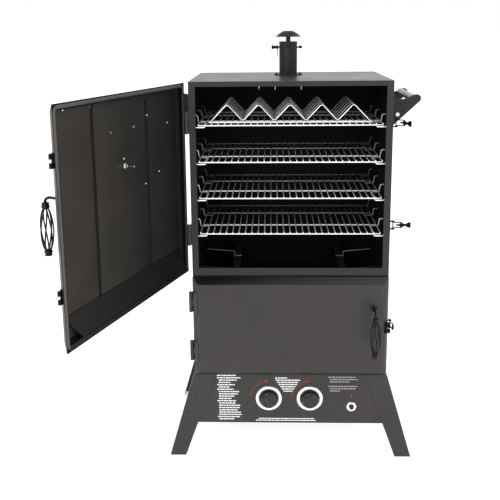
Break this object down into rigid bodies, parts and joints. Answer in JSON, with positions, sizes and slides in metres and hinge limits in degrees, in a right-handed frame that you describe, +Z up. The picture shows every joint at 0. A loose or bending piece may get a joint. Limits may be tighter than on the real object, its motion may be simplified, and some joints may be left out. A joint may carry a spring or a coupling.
{
  "type": "cabinet smoker",
  "caption": "Upright two-door gas cabinet smoker on splayed legs, with wire racks, rib rack, water pan, birdcage handles, draw latches and a capped chimney.",
  "frame": {"origin": "on the floor, under the centre of the cabinet", "axes": "+Z up, +X to the right seen from the front, +Y towards the back"},
  "size_m": [1.1748, 1.159, 1.597],
  "materials": {
    "powder_coat": "satin warm-grey powder coat",
    "chrome_wire": "bright chrome-plated wire",
    "black_metal": "semi-gloss black",
    "bright_trim": "polished",
    "black_knob": "glossy black",
    "zinc_steel": "zinc-plated",
    "cast_burner": "as cast",
    "valve_brass": "machined",
    "igniter_plastic": "moulded",
    "enamel": "dark speckled enamel",
    "tray_aluminium": "pressed",
    "needle_red": "painted red"
  },
  "bodies": {
    "cabinet": {"left_side_panel": "powder_coat", "right_side_panel": "powder_coat", "back_panel": "powder_coat", "top_panel": "powder_coat", "bottom_panel": "powder_coat", "front_frame": "powder_coat", "control_panel": "powder_coat", "front_legs": "powder_coat", "rear_legs": "powder_coat", "side_handle_brackets": "powder_coat", "side_handle_grips": "powder_coat", "chimney_tube": "black_metal", "chimney_cap": "black_metal", "grate_supports": "chrome_wire", "hook_rail": "chrome_wire", "pan_and_box_brackets": "black_metal", "burners": "cast_burner", "gas_valves": "valve_brass", "gas_manifold": "zinc_steel", "igniter": "igniter_plastic", "panel_bezels": "bright_trim", "cabinet_hinge_leaves": "powder_coat", "hinge_pins": "black_metal", "latch_bases": "black_metal", "cabinet_fasteners": "powder_coat"},
    "upper_door": {"upper_door_skin": "powder_coat", "upper_door_inner_frame": "powder_coat", "upper_door_drip_plate": "powder_coat", "upper_door_handle": "black_metal", "thermometer": "bright_trim", "nameplate": "zinc_steel", "upper_door_hinge_leaves": "powder_coat", "upper_door_keepers": "black_metal"},
    "lower_door": {"lower_door_skin": "powder_coat", "lower_door_handle": "black_metal", "lower_door_hinge_leaves": "powder_coat", "lower_door_keeper": "black_metal"},
    "damper": {"damper": "black_metal"},
    "cooking_grate_1": {"cooking_grate_1": "chrome_wire"},
    "cooking_grate_2": {"cooking_grate_2": "chrome_wire"},
    "cooking_grate_3": {"cooking_grate_3": "chrome_wire"},
    "cooking_grate_4": {"cooking_grate_4": "chrome_wire"},
    "rib_rack": {"rib_rack": "chrome_wire"},
    "meat_hooks": {"meat_hooks": "chrome_wire"},
    "water_pan": {"water_pan": "enamel"},
    "wood_chip_box": {"wood_chip_box": "enamel"},
    "chip_box_lid": {"chip_box_lid": "enamel"},
    "left_valve_stem": {"left_valve_stem": "zinc_steel"},
    "right_valve_stem": {"right_valve_stem": "zinc_steel"},
    "left_knob": {"left_knob": "black_knob"},
    "right_knob": {"right_knob": "black_knob"},
    "igniter_button": {"igniter_button": "black_knob"},
    "grease_tray": {"grease_tray": "tray_aluminium"},
    "thermometer_needle": {"thermometer_needle": "needle_red"},
    "latch_bail_1": {"latch_bail_1": "black_metal"},
    "latch_bail_2": {"latch_bail_2": "black_metal"},
    "latch_bail_3": {"latch_bail_3": "black_metal"},
    "latch_lever_1": {"latch_lever_1": "black_metal"},
    "latch_lever_2": {"latch_lever_2": "black_metal"},
    "latch_lever_3": {"latch_lever_3": "black_metal"}
  },
  "joints": [
    {"name": "upper_door_swing", "type": "hinge", "parent": "cabinet", "child": "upper_door", "pos_m": [-0.3645, -0.241, 1.083], "axis": [0, 0, 1], "range_deg": [-65, 111]},
    {"name": "lower_door_swing", "type": "hinge", "parent": "cabinet", "child": "lower_door", "pos_m": [-0.3645, -0.241, 0.53], "axis": [0, 0, 1], "range_deg": [-150, 0]},
    {"name": "latch_bail_1_swing", "type": "hinge", "parent": "cabinet", "child": "latch_bail_1", "pos_m": [0.369, -0.215, 1.281], "axis": [0, 0, 1], "range_deg": [-30, 100]},
    {"name": "latch_lever_1_swing", "type": "hinge", "parent": "latch_bail_1", "child": "latch_lever_1", "pos_m": [0.39585, -0.2305, 1.281], "axis": [0, 0, 1], "range_deg": [-35, 85]},
    {"name": "latch_bail_2_swing", "type": "hinge", "parent": "cabinet", "child": "latch_bail_2", "pos_m": [0.369, -0.215, 0.909], "axis": [0, 0, 1], "range_deg": [-60, 70]},
    {"name": "latch_lever_2_swing", "type": "hinge", "parent": "latch_bail_2", "child": "latch_lever_2", "pos_m": [0.4, -0.215, 0.909], "axis": [0, 0, 1], "range_deg": [-60, 60]},
    {"name": "latch_bail_3_swing", "type": "hinge", "parent": "cabinet", "child": "latch_bail_3", "pos_m": [0.369, -0.215, 0.53], "axis": [0, 0, 1], "range_deg": [0, 120]},
    {"name": "latch_lever_3_swing", "type": "hinge", "parent": "latch_bail_3", "child": "latch_lever_3", "pos_m": [0.37544, -0.24532, 0.53], "axis": [0, 0, 1], "range_deg": [-158, 0]},
    {"name": "cooking_grate_1_slide", "type": "slide", "parent": "cabinet", "child": "cooking_grate_1", "axis": [0, 1, 0], "range_m": [-0.4, 0]},
    {"name": "cooking_grate_2_slide", "type": "slide", "parent": "cabinet", "child": "cooking_grate_2", "axis": [0, 1, 0], "range_m": [-0.4, 0]},
    {"name": "cooking_grate_3_slide", "type": "slide", "parent": "cabinet", "child": "cooking_grate_3", "axis": [0, 1, 0], "range_m": [-0.4, 0]},
    {"name": "cooking_grate_4_slide", "type": "slide", "parent": "cabinet", "child": "cooking_grate_4", "axis": [0, 1, 0], "range_m": [-0.4, 0]},
    {"name": "rib_rack_slide", "type": "slide", "parent": "cooking_grate_1", "child": "rib_rack", "axis": [0, 1, 0], "range_m": [-0.4, 0]},
    {"name": "meat_hooks_swing", "type": "hinge", "parent": "cabinet", "child": "meat_hooks", "pos_m": [0, 0, 1.409], "axis": [1, 0, 0], "range_deg": [-30, 30]},
    {"name": "water_pan_slide", "type": "slide", "parent": "cabinet", "child": "water_pan", "axis": [0, -1, 0], "range_m": [0, 0.08]},
    {"name": "wood_chip_box_slide", "type": "slide", "parent": "cabinet", "child": "wood_chip_box", "axis": [0, -1, 0], "range_m": [0, 0.1]},
    {"name": "chip_box_lid_swing", "type": "hinge", "parent": "wood_chip_box", "child": "chip_box_lid", "pos_m": [0, 0.085, 0.577], "axis": [-1, 0, 0], "range_deg": [0, 15]},
    {"name": "damper_turn", "type": "hinge", "parent": "cabinet", "child": "damper", "pos_m": [-0.001, 0.07, 1.536], "axis": [1, 0, 0], "range_deg": [0, 90]},
    {"name": "left_valve_push", "type": "slide", "parent": "cabinet", "child": "left_valve_stem", "axis": [0, 1, 0], "range_m": [0, 0.003], "stiffness_N_per_m": 800},
    {"name": "left_knob_turn", "type": "hinge", "parent": "left_valve_stem", "child": "left_knob", "pos_m": [-0.08, -0.262, 0.24], "axis": [0, -1, 0], "range_deg": [0, 180]},
    {"name": "right_valve_push", "type": "slide", "parent": "cabinet", "child": "right_valve_stem", "axis": [0, 1, 0], "range_m": [0, 0.003], "stiffness_N_per_m": 800},
    {"name": "right_knob_turn", "type": "hinge", "parent": "right_valve_stem", "child": "right_knob", "pos_m": [0.074, -0.262, 0.24], "axis": [0, -1, 0], "range_deg": [0, 180]},
    {"name": "igniter_push", "type": "slide", "parent": "cabinet", "child": "igniter_button", "axis": [0, 1, 0], "range_m": [0, 0.005], "stiffness_N_per_m": 400},
    {"name": "grease_tray_slide", "type": "slide", "parent": "cabinet", "child": "grease_tray", "axis": [0, 1, 0], "range_m": [0, 0.3]},
    {"name": "thermometer_needle_turn", "type": "hinge", "parent": "upper_door", "child": "thermometer_needle", "pos_m": [-0.5292, -0.56821, 1.201], "axis": [-0.9336, 0.3584, 0], "range_deg": [-270, 0]}
  ]
}
